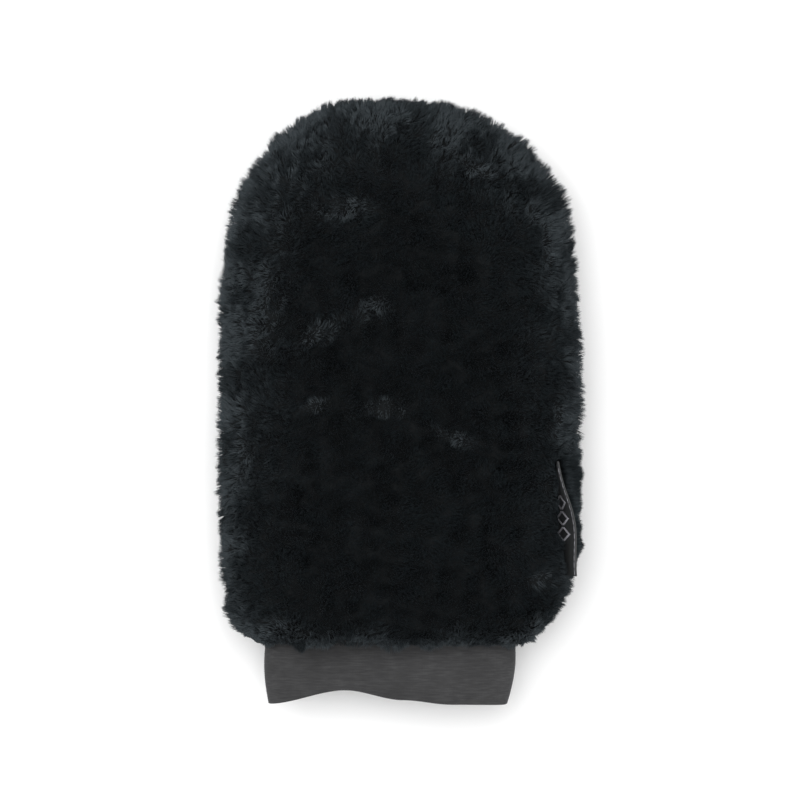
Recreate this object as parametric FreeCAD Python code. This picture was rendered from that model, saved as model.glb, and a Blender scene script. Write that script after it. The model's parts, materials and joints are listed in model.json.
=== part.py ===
import FreeCAD, Part
import math
import os

# A plush wash mitt lying on its back panel, empty, with its elastic cuff towards -Y.
# Millimetres. +X is across the hand, +Y runs to the finger tips and +Z is up.
# The origin is on the resting plane, under the middle of the whole mitt.
#
# The mitt is a set of nested surfaces. From the outside in they are the tips of the pile, the
# ground cloth that the pile stands on, the lining, and the pocket that the hand goes into.
# Each piece of cloth is what lies between one surface and the next.

V = FreeCAD.Vector

# ---- driving dimensions ---------------------------------------------------------------------
LENGTH = 310.0               # free edge of the cuff to the tip of the pile
WIDTH = 187.0                # over the pile
SEAM_HEIGHT = 24.0           # the edge seam, above the resting plane
PILE_RISE = 30.0             # top of the pile, above the edge seam
PILE_DROP = 25.5             # the back pile before the mitt's weight flattens it
PILE_EDGE = 16.5             # how far the pile stands out beyond the edge seam
BACKING = 2.0                # knitted ground cloth
LINING = 1.2                 # inner cloth
POCKET_RISE = 10.0           # hand pocket, above and below the edge seam
POCKET_DROP = 8.0

CUFF_WIDTH = 127.0           # webbing ring laid flat, over its two folds
CUFF_HALF_HEIGHT = 8.0
CUFF_WALL = 1.6
CUFF_CENTRE_X = -5.0
CUFF_TUCK = 8.0              # webbing caught inside the ground cloth
CUFF_VISIBLE = 33.0          # webbing beyond the ground cloth
CUFF_WAVE = (                # free edge: share of the way across, rise above the lowest point
    (0.0, 0.5), (0.32, 7.7), (0.55, 2.8), (0.75, 0.5), (1.0, 0.0))

LABEL_LENGTH = 58.0          # along the side seam
LABEL_REACH = 20.0           # hinge line to free edge
LABEL_THICK = 1.0            # ribbon folded double
LABEL_HINGE_X = 78.3         # just outside the side seam
LABEL_START_Y = -89.0
LABEL_LEAN = 65.0            # degrees from +X up to the label at rest
LABEL_INWARD = 20.0          # degrees that it turns up, towards the front pile
LABEL_OUTWARD = 55.0         # degrees that it turns down, onto the back pile

# ---- outline ---------------------------------------------------------------------------------
CROWN_X = -20.0              # the highest point of the outline is left of the middle
WIDEST_LEFT_Y = 45.0
WIDEST_RIGHT_Y = 10.0
WIDEST_HEIGHT_Y = 20.0
TIP_POWER_LEFT = 2.05        # superellipse powers: 2 is an ellipse, more is squarer
TIP_POWER_RIGHT = 3.0
CORNER_POWER_LEFT = 7.5
CORNER_POWER_RIGHT = 5.0
TIP_POWER_HEIGHT = 2.6
MOUTH_POWER_HEIGHT = 5.0
SECTION_POWER = 2.45

# ---- small fits ------------------------------------------------------------------------------
THREAD = 0.6                 # sewing thread, across a stitch line
FLEX_GAP = 0.4               # each side of a line where the cloth bends
LABEL_CLEARANCE = 0.5        # pile to label
MOTIF_RAISE = 0.15
STITCH_PITCH = 5.0
STITCH_HOLD = 0.7            # how deep a stitch goes into the ground cloth, of its thickness
CUFF_OPENING = 25.0          # degrees that the upper half of the cuff lifts

# ---- worked out ------------------------------------------------------------------------------
TIP_Y = LENGTH / 2
CUFF_EDGE_Y = -LENGTH / 2
SEAM_END_Y = CUFF_EDGE_Y + CUFF_VISIBLE
LINING_END_Y = SEAM_END_Y + CUFF_TUCK
PILE_END_Y = SEAM_END_Y - 2.0                # the pile hangs this far over the webbing
LEFT_X = -WIDTH / 2
RIGHT_X = WIDTH / 2
CUFF_LEFT = CUFF_CENTRE_X - CUFF_WIDTH / 2
CUFF_RIGHT = CUFF_CENTRE_X + CUFF_WIDTH / 2
LABEL_END_Y = LABEL_START_Y + LABEL_LENGTH
LABEL_HINGE = V(LABEL_HINGE_X, 0, SEAM_HEIGHT)

STATIONS = 15                # cross-sections along the length of a surface
ARC_POINTS = 13              # points on each half of a cross-section
LAST_STATION = math.radians(86)
FAR = 400.0                  # larger than the mitt, for cutting it in two


def superellipse(share, power):
    """Half width of a unit superellipse at a share of its half length."""
    return max(0.0, 1.0 - share ** power) ** (1.0 / power)


def vanishing_y(widest_y, mouth_y, ratio, power):
    """Where an outline would close if it narrows to the given ratio at the mouth."""
    share = (1.0 - ratio ** power) ** (1.0 / power)
    return widest_y + (mouth_y - widest_y) / share


class Surface:
    """One of the nested surfaces: its outline, its height and its cross-sections."""

    def __init__(self, inset, rise, drop, mouth_y, mouth_grow, mouth_rise):
        # the last cross-section, just short of where the outline would close, is at the tip
        self.tip_y = WIDEST_HEIGHT_Y + (TIP_Y - inset - WIDEST_HEIGHT_Y) / math.sin(LAST_STATION)
        self.mouth_y = mouth_y
        self.rise = rise
        self.drop = drop
        self.left = CROWN_X - (LEFT_X + inset)
        self.right = RIGHT_X - inset - CROWN_X
        left_ratio = (CROWN_X - CUFF_LEFT + mouth_grow) / self.left
        right_ratio = (CUFF_RIGHT + mouth_grow - CROWN_X) / self.right
        self.left_close = vanishing_y(WIDEST_LEFT_Y, mouth_y, left_ratio, CORNER_POWER_LEFT)
        self.right_close = vanishing_y(WIDEST_RIGHT_Y, mouth_y, right_ratio, CORNER_POWER_RIGHT)
        self.height_close = {}
        for height in (rise, drop):
            ratio = mouth_rise / height
            self.height_close[height] = vanishing_y(
                WIDEST_HEIGHT_Y, mouth_y, ratio, MOUTH_POWER_HEIGHT)

    def share(self, y, widest_y, close_y, tip_power, mouth_power):
        """How much of its full size a measure has at y."""
        if y >= widest_y:
            return superellipse((y - widest_y) / (self.tip_y - widest_y), tip_power)
        return superellipse((widest_y - y) / (widest_y - close_y), mouth_power)

    def left_x(self, y):
        share = self.share(y, WIDEST_LEFT_Y, self.left_close, TIP_POWER_LEFT, CORNER_POWER_LEFT)
        return CROWN_X - self.left * share

    def right_x(self, y):
        share = self.share(y, WIDEST_RIGHT_Y, self.right_close, TIP_POWER_RIGHT, CORNER_POWER_RIGHT)
        return CROWN_X + self.right * share

    def height(self, y, full):
        share = self.share(y, WIDEST_HEIGHT_Y, self.height_close[full],
                           TIP_POWER_HEIGHT, MOUTH_POWER_HEIGHT)
        return full * share

    def station_ys(self):
        """Places for cross-sections, close together where the outline turns."""
        first = -math.pi / 2
        ys = []
        for i in range(STATIONS):
            angle = first + (LAST_STATION - first) * i / (STATIONS - 1)
            reach = self.tip_y - WIDEST_HEIGHT_Y
            if angle < 0:
                reach = WIDEST_HEIGHT_Y - self.mouth_y
            ys.append(WIDEST_HEIGHT_Y + reach * math.sin(angle))
        return ys

    def section(self, y):
        """The closed cross-section at y: an arc over the top and an arc under the bottom."""
        left, right = self.left_x(y), self.right_x(y)
        return oval_wire(left, right, self.height(y, self.rise), self.height(y, self.drop), y)

    def solid(self):
        return Part.makeLoft([self.section(y) for y in self.station_ys()], True, False)

    def plan(self, z_low, z_high):
        """A flat slab with this surface's outline."""
        ys = self.station_ys()
        left = spline([V(self.left_x(y), y, z_low) for y in ys])
        right = spline([V(self.right_x(y), y, z_low) for y in ys])
        tip = Part.makeLine(V(self.left_x(ys[-1]), ys[-1], z_low), V(self.right_x(ys[-1]), ys[-1], z_low))
        mouth = Part.makeLine(V(self.left_x(ys[0]), ys[0], z_low), V(self.right_x(ys[0]), ys[0], z_low))
        wire = Part.Wire(Part.__sortEdges__([left, tip, right, mouth]))
        return Part.Face(wire).extrude(V(0, 0, z_high - z_low))


def spline(points):
    curve = Part.BSplineCurve()
    curve.interpolate(points)
    return curve.toShape()


def oval_arc(left, right, height, y, side):
    """Half an oval in the plane at y, from its left end to its right end."""
    centre = (left + right) / 2
    half = (right - left) / 2
    points = []
    for i in range(ARC_POINTS):
        angle = math.pi * i / (ARC_POINTS - 1)
        across = abs(math.cos(angle)) ** (2 / SECTION_POWER)
        up = math.sin(angle) ** (2 / SECTION_POWER) if 0 < i < ARC_POINTS - 1 else 0.0
        x = centre - math.copysign(across, math.cos(angle)) * half
        points.append(V(x, y, SEAM_HEIGHT + side * height * up))
    return spline(points)


def oval_wire(left, right, rise, drop, y):
    return Part.Wire([oval_arc(left, right, rise, y, 1), oval_arc(left, right, drop, y, -1)])


def oval_prism(shrink, y_from, y_to):
    """A straight length of the cuff's oval, made smaller all round by shrink."""
    height = CUFF_HALF_HEIGHT - shrink
    wire = oval_wire(CUFF_LEFT + shrink, CUFF_RIGHT - shrink, height, height, y_from)
    return Part.Face(wire).extrude(V(0, y_to - y_from, 0))


def block(x, y, z):
    """A box from three (low, high) pairs."""
    return Part.makeBox(x[1] - x[0], y[1] - y[0], z[1] - z[0], V(x[0], y[0], z[0]))


def above(z):
    return block((-FAR, FAR), (-FAR, FAR), (z, FAR))


def below(z):
    return block((-FAR, FAR), (-FAR, FAR), (-FAR, z))


def one_solid(shape):
    """The shape as a single clean solid, or a group when it is several."""
    shape = shape.removeSplitter()
    return shape.Solids[0] if len(shape.Solids) == 1 else Part.makeCompound(shape.Solids)


# ---- nested surfaces -------------------------------------------------------------------------
PILE_MOUTH_GROW = 5.0        # the pile stands out round the cuff by this much
PILE_MOUTH_RISE = 21.0

pile_surface = Surface(0.0, PILE_RISE, PILE_DROP, PILE_END_Y, PILE_MOUTH_GROW, PILE_MOUTH_RISE)
backing_surface = Surface(PILE_EDGE, POCKET_RISE + LINING + BACKING, POCKET_DROP + LINING + BACKING,
                          SEAM_END_Y, BACKING, CUFF_HALF_HEIGHT + BACKING)
lining_surface = Surface(PILE_EDGE + BACKING, POCKET_RISE + LINING, POCKET_DROP + LINING,
                         LINING_END_Y, 0.0, CUFF_HALF_HEIGHT)
pocket_surface = Surface(PILE_EDGE + BACKING + LINING, POCKET_RISE, POCKET_DROP,
                         LINING_END_Y, -LINING, CUFF_HALF_HEIGHT - LINING)

outer = pile_surface.solid().common(above(0.0))
shell = backing_surface.solid()
liner = lining_surface.solid()
pocket = pocket_surface.solid()
cuff_core = oval_prism(0.0, CUFF_EDGE_Y, LINING_END_Y)
cuff_hollow = oval_prism(CUFF_WALL, CUFF_EDGE_Y, LINING_END_Y)


def seam_strip(surface_inset, depth, mouth_y, mouth_grow):
    """A thread line inside a cloth, round the tip from one side of the mouth to the other.

    The cloth's outer surface has the given inset, and the thread is at a depth below it."""
    def slab(below_surface):
        line = Surface(surface_inset + below_surface, CUFF_HALF_HEIGHT, CUFF_HALF_HEIGHT,
                       mouth_y, mouth_grow - below_surface, CUFF_HALF_HEIGHT / 2)
        return line.plan(SEAM_HEIGHT - THREAD / 2, SEAM_HEIGHT + THREAD / 2)
    clear_of_cuff = 2.0
    strip = slab(depth).cut(slab(depth + THREAD))
    return strip.common(block((-FAR, FAR), (LINING_END_Y + clear_of_cuff, FAR), (-FAR, FAR)))


def free_edge_waste():
    """What is cut away below the wavy free edge of the webbing."""
    points = [V(CUFF_LEFT + share * CUFF_WIDTH, CUFF_EDGE_Y + rise, 0) for share, rise in CUFF_WAVE]
    beyond = CUFF_EDGE_Y - 10.0
    low_left, low_right = V(CUFF_LEFT, beyond, 0), V(CUFF_RIGHT, beyond, 0)
    edges = [spline(points), Part.makeLine(points[-1], low_right),
             Part.makeLine(low_right, low_left), Part.makeLine(low_left, points[0])]
    return Part.Face(Part.Wire(edges)).extrude(V(0, 0, 2 * SEAM_HEIGHT))


def label_turn(shape):
    """Lean a label piece that was built lying flat outwards from its hinge line."""
    shape.rotate(LABEL_HINGE, V(0, 1, 0), -LABEL_LEAN)
    return shape


def label_flat_block(reach, y, depth):
    x = (LABEL_HINGE_X + reach[0], LABEL_HINGE_X + reach[1])
    z = (SEAM_HEIGHT + depth[0], SEAM_HEIGHT + depth[1])
    return block(x, y, z)


def label_room():
    """The sector that the label sweeps between the two ends of its turn."""
    beyond_edge = 1.5
    beyond_ends = 1.0
    clear = LABEL_THICK / 2 + LABEL_CLEARANCE
    low = math.radians(LABEL_LEAN - LABEL_OUTWARD)
    high = math.radians(LABEL_LEAN + LABEL_INWARD)
    middle = (low + high) / 2
    set_back = clear / math.sin((high - low) / 2)
    y = LABEL_START_Y - beyond_ends
    apex = V(LABEL_HINGE_X - set_back * math.cos(middle), y, SEAM_HEIGHT - set_back * math.sin(middle))
    corners = [apex] + [apex + V(math.cos(lean), 0, math.sin(lean)) * FAR for lean in (low, high)]
    length = LABEL_LENGTH + 2 * beyond_ends
    wedge = Part.Face(Part.makePolygon(corners + corners[:1])).extrude(V(0, length, 0))
    base = V(LABEL_HINGE_X, y, SEAM_HEIGHT)
    return wedge.common(Part.makeCylinder(LABEL_REACH + beyond_edge, length, base, V(0, 1, 0)))


def cuff_room():
    """The wedge in front of the seam that the upper half of the cuff sweeps as it lifts."""
    margin = 0.8
    spare_angle = 3.0
    start = SEAM_END_Y + margin
    end = PILE_END_Y - 10.0
    low = SEAM_HEIGHT
    high = SEAM_HEIGHT + CUFF_HALF_HEIGHT + margin
    slope = math.tan(math.radians(CUFF_OPENING + spare_angle))
    left = CUFF_LEFT - margin
    corners = [V(left, start, low), V(left, start, high),
               V(left, end, high + (start - end) * slope), V(left, end, low)]
    face = Part.Face(Part.makePolygon(corners + corners[:1]))
    return face.extrude(V(CUFF_WIDTH + 2 * margin, 0, 0))


# ---- label -----------------------------------------------------------------------------------
def label_sewn_end():
    """The part of the ribbon between the two pile panels, from the side seam to the hinge line."""
    root_x = 60.0
    flex_line = 1.2
    x = (root_x, LABEL_HINGE_X - flex_line)
    z = (SEAM_HEIGHT - LABEL_THICK / 2, SEAM_HEIGHT + LABEL_THICK / 2)
    return block(x, (LABEL_START_Y, LABEL_END_Y), z)


def label_ribbon():
    """The free part of the folded ribbon, with a rounded fold along its outer edge."""
    start = 0.7
    flat = label_flat_block((start, LABEL_REACH - LABEL_THICK / 2), (LABEL_START_Y, LABEL_END_Y),
                            (-LABEL_THICK / 2, LABEL_THICK / 2))
    fold_at = V(LABEL_HINGE_X + LABEL_REACH - LABEL_THICK / 2, LABEL_START_Y, SEAM_HEIGHT)
    fold = Part.makeCylinder(LABEL_THICK / 2, LABEL_LENGTH, fold_at, V(0, 1, 0))
    return label_turn(flat.fuse(fold))


def label_motif():
    """Three plain diamonds beside a border line, woven on the label's inner face."""
    face = LABEL_THICK / 2
    depth = (face, face + MOTIF_RAISE)
    border_reach = LABEL_REACH - 1.2
    border_width = 0.5
    pieces = [label_flat_block((border_reach, border_reach + border_width),
                               (LABEL_START_Y, LABEL_END_Y), depth)]
    diamonds = 3
    pitch = 8.0
    half_along = 3.8
    half_across = 6.5
    centre_x = LABEL_HINGE_X + LABEL_REACH / 2 - 0.5
    for i in range(diamonds):
        y = (LABEL_START_Y + LABEL_END_Y) / 2 + (i - (diamonds - 1) / 2) * pitch
        z = SEAM_HEIGHT + face
        corners = [V(centre_x - half_across, y, z), V(centre_x, y + half_along, z),
                   V(centre_x + half_across, y, z), V(centre_x, y - half_along, z)]
        outline = Part.Face(Part.makePolygon(corners + corners[:1]))
        pieces.append(outline.extrude(V(0, 0, MOTIF_RAISE)))
    return label_turn(Part.makeCompound(pieces))


# ---- stitches --------------------------------------------------------------------------------
def bar(start, direction, length):
    """One straight stitch."""
    return Part.makeCylinder(THREAD / 2, length, start, direction)


def cuff_stitches(side):
    """Stitches through the webbing into the ground cloth, square to the oval, on one half of it."""
    half_width = CUFF_WIDTH / 2
    count = int(CUFF_WIDTH / STITCH_PITCH) - 2
    y = (SEAM_END_Y + LINING_END_Y) / 2
    proud_inside = 0.3
    length = proud_inside + CUFF_WALL + STITCH_HOLD * BACKING
    bars = []
    for i in range(count):
        share = -1 + 2 * (i + 1) / (count + 1)
        z = CUFF_HALF_HEIGHT * superellipse(abs(share), SECTION_POWER)
        slope_x = math.copysign(abs(share) ** (SECTION_POWER - 1), share) / half_width
        slope_z = (z / CUFF_HALF_HEIGHT) ** (SECTION_POWER - 1) / CUFF_HALF_HEIGHT
        point = V(CUFF_CENTRE_X + share * half_width, y, SEAM_HEIGHT + side * z)
        outwards = V(slope_x, 0, side * slope_z).normalize()
        bars.append(bar(point - outwards * (CUFF_WALL + proud_inside), outwards, length))
    return Part.makeCompound(bars)


def closing_stitches():
    """Short stitches across the line that closes the webbing into a ring, in its lower half."""
    closing_x = 30.0
    across = 4.0
    count = 7
    first = CUFF_EDGE_Y + 2.5
    pitch = 4.5
    z = (SEAM_HEIGHT - CUFF_HALF_HEIGHT - 1.0, SEAM_HEIGHT)
    bars = []
    for i in range(count):
        y = first + i * pitch
        bars.append(block((closing_x - across / 2, closing_x + across / 2), (y, y + THREAD), z))
    return Part.makeCompound(bars)


def label_stitches():
    """Stitches that hold the sewn end of the label inside the side seam."""
    depth = STITCH_HOLD * BACKING
    seam = Surface(PILE_EDGE + depth, CUFF_HALF_HEIGHT, CUFF_HALF_HEIGHT,
                   SEAM_END_Y, BACKING - depth, CUFF_HALF_HEIGHT / 2)
    pitch = 4.0
    count = int(LABEL_LENGTH / pitch)
    length = 3.2
    bars = []
    for i in range(count):
        y = LABEL_START_Y + (i + 0.5) * pitch
        bars.append(bar(V(seam.right_x(y), y, SEAM_HEIGHT - length / 2), V(0, 0, 1), length))
    return Part.makeCompound(bars)


# ---- assembly of the pieces ------------------------------------------------------------------
upper = above(SEAM_HEIGHT)
lower = below(SEAM_HEIGHT)

pile = outer.cut(shell).cut(cuff_core)
backing = shell.cut(liner).cut(cuff_core)
lining = liner.cut(pocket)
webbing = cuff_core.cut(cuff_hollow).cut(free_edge_waste())

sewn_end = label_sewn_end()
pile = pile.cut(sewn_end).cut(label_room())
backing = backing.cut(sewn_end)
sewn_end = sewn_end.cut(liner)

perimeter_thread = seam_strip(PILE_EDGE, BACKING / 5, SEAM_END_Y, BACKING)
lining_thread = seam_strip(PILE_EDGE + BACKING, LINING / 4, LINING_END_Y, 0.0)
label_thread = label_stitches()

backing = backing.cut(perimeter_thread).cut(label_thread)
sewn_end = sewn_end.cut(perimeter_thread).cut(label_thread)
lining = lining.cut(lining_thread)

tuck = block((-FAR, FAR), (SEAM_END_Y, LINING_END_Y), (-FAR, FAR))
sewn_edge = webbing.common(tuck)
backing_front = backing.common(upper)
backing_back = backing.common(lower)
front_thread = cuff_stitches(1)
back_thread = cuff_stitches(-1)
backing_front = backing_front.cut(front_thread)
backing_back = backing_back.cut(back_thread)
sewn_edge = sewn_edge.cut(front_thread).cut(back_thread)

free_back = block((-FAR, FAR), (CUFF_EDGE_Y, SEAM_END_Y), (-FAR, SEAM_HEIGHT - FLEX_GAP / 2))
free_front = block((-FAR, FAR), (CUFF_EDGE_Y, SEAM_END_Y - 2 * FLEX_GAP), (SEAM_HEIGHT + FLEX_GAP / 2, FAR))
cuff_back = webbing.common(free_back)
closing_thread = closing_stitches().common(cuff_back)
cuff_back = cuff_back.cut(closing_thread)

nodes = {
    "front_pile": pile.common(upper).cut(cuff_room()),
    "back_pile": pile.common(lower),
    "front_backing": backing_front,
    "back_backing": backing_back,
    "front_lining": lining.common(upper),
    "back_lining": lining.common(lower),
    "perimeter_seam_thread": perimeter_thread,
    "lining_seam_thread": lining_thread,
    "cuff_sewn_edge": sewn_edge,
    "cuff_front": webbing.common(free_front),
    "cuff_back": cuff_back,
    "cuff_seam_thread_front": front_thread,
    "cuff_seam_thread_back": back_thread,
    "cuff_closing_thread": closing_thread,
    "label_sewn_end": sewn_end,
    "label_stitching": label_thread,
    "label_ribbon": label_ribbon(),
    "label_motif": label_motif(),
}

os.makedirs("parts", exist_ok=True)
for name, shape in nodes.items():
    shape = one_solid(shape)
    shape.exportStep("parts/" + name + ".step")
    box = shape.BoundBox
    print("%-24s %3d solids  %10.1f mm3  valid %s  x %.1f %.1f  y %.1f %.1f  z %.1f %.1f" % (
        name, len(shape.Solids), shape.Volume, shape.isValid(),
        box.XMin, box.XMax, box.YMin, box.YMax, box.ZMin, box.ZMax))
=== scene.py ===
import json
import math

import bpy
import numpy as np
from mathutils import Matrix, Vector
from mathutils.kdtree import KDTree


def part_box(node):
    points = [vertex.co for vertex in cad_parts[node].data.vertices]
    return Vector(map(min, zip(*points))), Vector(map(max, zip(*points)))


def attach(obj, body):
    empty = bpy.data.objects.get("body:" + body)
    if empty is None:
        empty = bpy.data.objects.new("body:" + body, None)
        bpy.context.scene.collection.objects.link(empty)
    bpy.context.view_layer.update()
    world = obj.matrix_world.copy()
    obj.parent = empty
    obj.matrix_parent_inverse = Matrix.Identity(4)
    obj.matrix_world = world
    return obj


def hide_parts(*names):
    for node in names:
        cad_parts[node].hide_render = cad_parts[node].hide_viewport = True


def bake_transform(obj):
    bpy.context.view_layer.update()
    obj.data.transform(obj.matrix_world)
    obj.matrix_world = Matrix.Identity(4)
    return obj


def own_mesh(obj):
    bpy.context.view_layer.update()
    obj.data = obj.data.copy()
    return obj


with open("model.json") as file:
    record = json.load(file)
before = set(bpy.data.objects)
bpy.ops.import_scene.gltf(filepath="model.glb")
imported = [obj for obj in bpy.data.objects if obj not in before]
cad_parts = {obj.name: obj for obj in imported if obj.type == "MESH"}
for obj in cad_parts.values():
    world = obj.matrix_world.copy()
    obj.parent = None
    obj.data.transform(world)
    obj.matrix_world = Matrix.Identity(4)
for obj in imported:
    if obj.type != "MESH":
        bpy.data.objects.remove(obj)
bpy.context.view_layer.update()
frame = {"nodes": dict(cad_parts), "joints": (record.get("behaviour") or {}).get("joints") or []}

# A black plush wash mitt lying on its back panel. Metres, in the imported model's frame:
# +X across the hand, +Y to the finger tips, +Z up.
MM = 0.001
rng = np.random.default_rng(20)

# ---- sizes, from the frame ----
pile_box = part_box("front_pile")
backing_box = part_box("front_backing")
lining_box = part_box("front_lining")
edge_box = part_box("cuff_sewn_edge")
cuff_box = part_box("cuff_back")
label_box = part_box("label_ribbon")
joints = {joint["name"]: joint for joint in frame["joints"]}
label_hinge = Vector(joints["label_flip"]["pos_m"])

SEAM_Z = pile_box[0].z                     # height of the edge seam
TIP_Y = pile_box[1].y
HALF_WIDTH = (pile_box[1].x - pile_box[0].x) / 2
PILE_RISE = pile_box[1].z - SEAM_Z
PILE_DROP = SEAM_Z + 1.5 * MM              # what the back pile would be if the floor didn't flatten it
PILE_EDGE = HALF_WIDTH - (backing_box[1].x - backing_box[0].x) / 2
BACKING = backing_box[1].x - lining_box[1].x
LINING = 1.2 * MM
CUFF_LEFT, CUFF_RIGHT = edge_box[0].x, edge_box[1].x
CUFF_X = (CUFF_LEFT + CUFF_RIGHT) / 2
CUFF_HALF_WIDTH = (CUFF_RIGHT - CUFF_LEFT) / 2
CUFF_HALF_HEIGHT = (edge_box[1].z - edge_box[0].z) / 2
CUFF_WALL = 1.6 * MM
PILE_MOUTH_GROW = 5 * MM                   # the pile stands out round the cuff by this much
PILE_MOUTH_RISE = 21 * MM
CUFF_EDGE_Y = cuff_box[0].y
SEAM_END_Y = edge_box[0].y                 # where the ground cloth ends and the free cuff begins
LINING_END_Y = edge_box[1].y
PILE_END_Y = pile_box[0].y


# ---- small helpers ----
def unit(vectors):
    """The vectors, each scaled to length one."""
    return vectors / np.maximum(np.linalg.norm(vectors, axis=-1, keepdims=True), 1e-9)


def smooth_step(values, low, high):
    """0 up to low, 1 from high on, and a smooth rise between them."""
    t = np.clip((values - low) / (high - low), 0, 1)
    return t * t * (3 - 2 * t)


# ---- outline: superellipses that meet at the widest places ----
CROWN_X = -20 * MM
WIDEST_LEFT_Y = 45 * MM
WIDEST_RIGHT_Y = 10 * MM
WIDEST_HEIGHT_Y = 20 * MM
TIP_POWER_LEFT, CORNER_POWER_LEFT = 2.05, 7.5
TIP_POWER_RIGHT, CORNER_POWER_RIGHT = 3.0, 5.0
TIP_POWER_HEIGHT, MOUTH_POWER_HEIGHT = 2.6, 5.0
SECTION_POWER = 2.45


def superellipse(share, power):
    """Height of a superellipse quarter of size one, at a share of its width."""
    return np.maximum(0.0, 1.0 - np.abs(share) ** power) ** (1.0 / power)


class Surface:
    """One of the nested surfaces of the mitt, as in the CAD model."""

    def __init__(self, inset, rise, drop, mouth_y, mouth_grow, mouth_rise):
        self.tip_y = TIP_Y - inset
        self.mouth_y = mouth_y
        self.rise = rise
        self.drop = drop
        self.mouth_rise = mouth_rise
        self.left = CROWN_X + HALF_WIDTH - inset
        self.right = HALF_WIDTH - inset - CROWN_X
        self.left_ratio = (CROWN_X - CUFF_LEFT + mouth_grow) / self.left
        self.right_ratio = (CUFF_RIGHT + mouth_grow - CROWN_X) / self.right

    def share(self, y, widest_y, ratio, tip_power, mouth_power):
        """How much of its full size a measure has at y."""
        closing = (1.0 - ratio ** mouth_power) ** (1.0 / mouth_power)
        to_tip = np.clip((y - widest_y) / (self.tip_y - widest_y), 0, 1)
        to_mouth = np.clip((widest_y - y) / (widest_y - self.mouth_y) * closing, 0, 1)
        return np.where(y > widest_y, superellipse(to_tip, tip_power), superellipse(to_mouth, mouth_power))

    def at(self, angle, station, side):
        """Points for angles from the left seam over to the right one, and stations from -90 degrees
        at the mouth to 90 at the tip. side is 1 for the front and -1 for the back."""
        reach = np.where(station < 0, WIDEST_HEIGHT_Y - self.mouth_y, self.tip_y - WIDEST_HEIGHT_Y)
        y = WIDEST_HEIGHT_Y + reach * np.sin(station)
        left = CROWN_X - self.left * self.share(
            y, WIDEST_LEFT_Y, self.left_ratio, TIP_POWER_LEFT, CORNER_POWER_LEFT)
        right = CROWN_X + self.right * self.share(
            y, WIDEST_RIGHT_Y, self.right_ratio, TIP_POWER_RIGHT, CORNER_POWER_RIGHT)
        full = self.rise if side > 0 else self.drop
        height = full * self.share(
            y, WIDEST_HEIGHT_Y, self.mouth_rise / full, TIP_POWER_HEIGHT, MOUTH_POWER_HEIGHT)
        across = np.sign(np.cos(angle)) * np.abs(np.cos(angle)) ** (2 / SECTION_POWER)
        up = np.abs(np.sin(angle)) ** (2 / SECTION_POWER)
        x = (left + right) / 2 - across * (right - left) / 2
        return np.stack([x, y, SEAM_Z + side * height * up], axis=-1)


pile_surface = Surface(0.0, PILE_RISE, PILE_DROP, PILE_END_Y, PILE_MOUTH_GROW, PILE_MOUTH_RISE)
backing_surface = Surface(PILE_EDGE, backing_box[1].z - SEAM_Z, SEAM_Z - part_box("back_backing")[0].z,
                          SEAM_END_Y, BACKING, CUFF_HALF_HEIGHT + BACKING)
lining_surface = Surface(PILE_EDGE + BACKING, lining_box[1].z - SEAM_Z, SEAM_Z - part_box("back_lining")[0].z,
                         LINING_END_Y, 0.0, CUFF_HALF_HEIGHT)
pocket_surface = Surface(PILE_EDGE + BACKING + LINING, lining_surface.rise - LINING,
                         lining_surface.drop - LINING, LINING_END_Y, -LINING, CUFF_HALF_HEIGHT - LINING)


# ---- smooth noise ----
class Waves:
    """Smooth random values over space: a sum of plane waves of about one wavelength."""

    def __init__(self, wavelength, count=14):
        directions = rng.normal(size=(count, 3))
        directions /= np.linalg.norm(directions, axis=1, keepdims=True)
        lengths = wavelength * rng.uniform(0.6, 1.5, (count, 1))
        self.k = directions * 2 * math.pi / lengths
        self.phase = rng.uniform(0, 2 * math.pi, count)
        self.scale = math.sqrt(2.0 / count)

    def __call__(self, points):
        return np.sin(points @ self.k.T + self.phase).sum(axis=-1) * self.scale


# ---- mesh helpers ----
def make_mesh(name, points, faces, material):
    """A mesh object from an array of points and a list of arrays of equal-sided faces."""
    mesh = bpy.data.meshes.new(name)
    points = np.asarray(points, np.float32).reshape(-1, 3)
    sizes = np.concatenate([np.full(len(f), f.shape[1]) for f in faces])
    loops = np.concatenate([np.asarray(f).ravel() for f in faces])
    starts = np.concatenate([[0], np.cumsum(sizes)[:-1]])
    mesh.vertices.add(len(points))
    mesh.vertices.foreach_set("co", points.ravel())
    mesh.loops.add(len(loops))
    mesh.loops.foreach_set("vertex_index", loops.astype(np.int32))
    mesh.polygons.add(len(sizes))
    mesh.polygons.foreach_set("loop_start", starts.astype(np.int32))
    mesh.polygons.foreach_set("use_smooth", np.full(len(sizes), True))
    mesh.update(calc_edges=True)
    mesh.validate()
    mesh.materials.append(material)
    piece = bpy.data.objects.new(name, mesh)
    bpy.context.scene.collection.objects.link(piece)
    return piece


def grid_faces(rows, columns, offset=0, wrap=False, flip=False):
    """Quads of a rows by columns grid of points. wrap joins the last column to the first."""
    i, j = np.meshgrid(np.arange(rows - 1), np.arange(columns if wrap else columns - 1), indexing="ij")
    k = (j + 1) % columns
    quads = np.stack([i * columns + j, i * columns + k, (i + 1) * columns + k, (i + 1) * columns + j], -1)
    quads = quads.reshape(-1, 4) + offset
    return quads[:, ::-1] if flip else quads


def grid_rim(rows, columns):
    """The border points of a grid, in order round it."""
    index = np.arange(rows * columns).reshape(rows, columns)
    return np.concatenate([index[0, :-1], index[:-1, -1], index[-1, :0:-1], index[:0:-1, 0]])


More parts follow.
